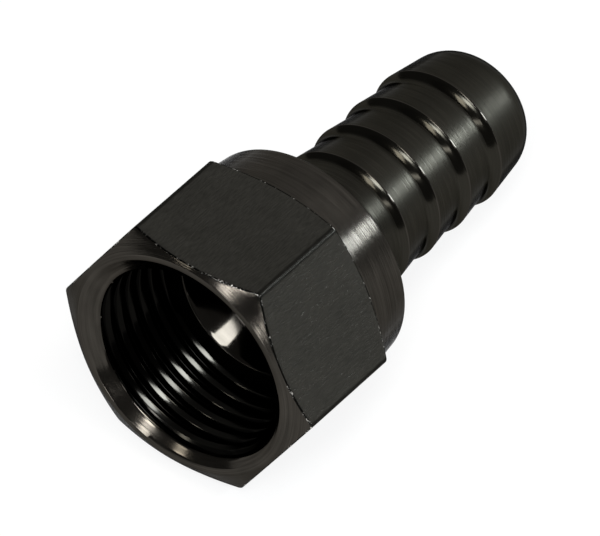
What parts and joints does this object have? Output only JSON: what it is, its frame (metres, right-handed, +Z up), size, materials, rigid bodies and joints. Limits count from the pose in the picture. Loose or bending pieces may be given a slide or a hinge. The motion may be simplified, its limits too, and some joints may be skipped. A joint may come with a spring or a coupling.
{
  "type": "swivel hose barb",
  "caption": "Hose fitting whose hexagon nut turns freely on a barbed stem, to join a soft hose to a flared and threaded pipe end.",
  "frame": {"origin": "on the surface that the fitting lies on, under the middle of its length", "axes": "+X along the fitting, from the nut's mouth towards the hose end; the swivel axis drops 7 degrees below +X, because the fitting lies on its nut's tapered collar; +Z up"},
  "size_m": [0.0442, 0.0254, 0.0235],
  "materials": {
    "nut_metal": "black plated steel: matte on the flats, fine turning lines on the chamfers, countersink and collar",
    "stem_metal": "black plated steel, satin, with fine turning lines around the stem"
  },
  "bodies": {
    "nut": {"swivel_nut": "nut_metal"},
    "stem": {"barb_stem": "stem_metal"}
  },
  "joints": [
    {"name": "swivel", "type": "hinge", "parent": "nut", "child": "stem", "pos_m": [-0.0208, 0, 0.01255], "axis": [0.9925, 0, -0.1219], "continuous": true}
  ]
}
